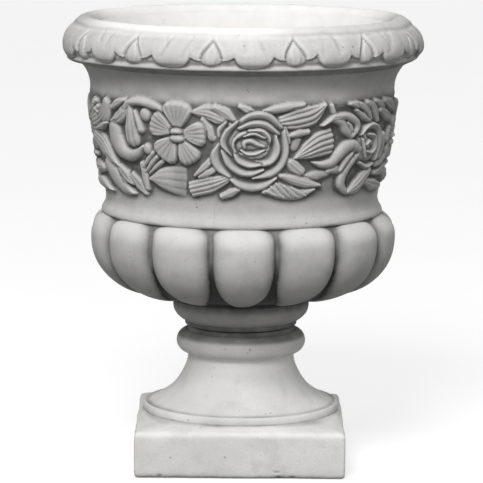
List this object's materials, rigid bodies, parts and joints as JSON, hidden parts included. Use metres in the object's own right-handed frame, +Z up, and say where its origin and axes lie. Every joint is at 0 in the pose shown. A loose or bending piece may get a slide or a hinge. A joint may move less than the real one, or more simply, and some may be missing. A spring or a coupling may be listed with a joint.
{
  "type": "garden urn planter",
  "caption": "Cast concrete garden urn on a square plinth, with a rolled rim, relief frieze and gadrooned belly, hollow for soil, with a drain through the pedestal.",
  "frame": {"origin": "centre of the underside of the plinth, on the ground", "axes": "+Z up along the axis of the urn, the front of the urn faces -Y, X and Y along the sides of the plinth"},
  "size_m": [0.4014, 0.4014, 0.5],
  "materials": {
    "concrete": "weathered cast concrete",
    "gasket": "matte",
    "drain_plastic": "matte",
    "screen_plastic": "matte",
    "steel": "mill scale with a little rust"
  },
  "bodies": {
    "pedestal": {"pedestal": "concrete", "bedding_ring": "gasket", "stem_bars": "steel", "plinth_hoop": "steel"},
    "bowl": {"urn_bowl": "concrete", "drain_spout": "drain_plastic", "rim_hoop": "steel", "waist_hoop": "steel", "wall_bars": "steel"},
    "drain_screen": {"drain_screen": "screen_plastic"}
  },
  "joints": [
    {"name": "bowl_lift", "type": "slide", "parent": "pedestal", "child": "bowl", "axis": [0, 0, 1], "range_m": [0, 0.12]},
    {"name": "drain_screen_lift", "type": "slide", "parent": "bowl", "child": "drain_screen", "axis": [0, 0, 1], "range_m": [0, 0.33]}
  ]
}
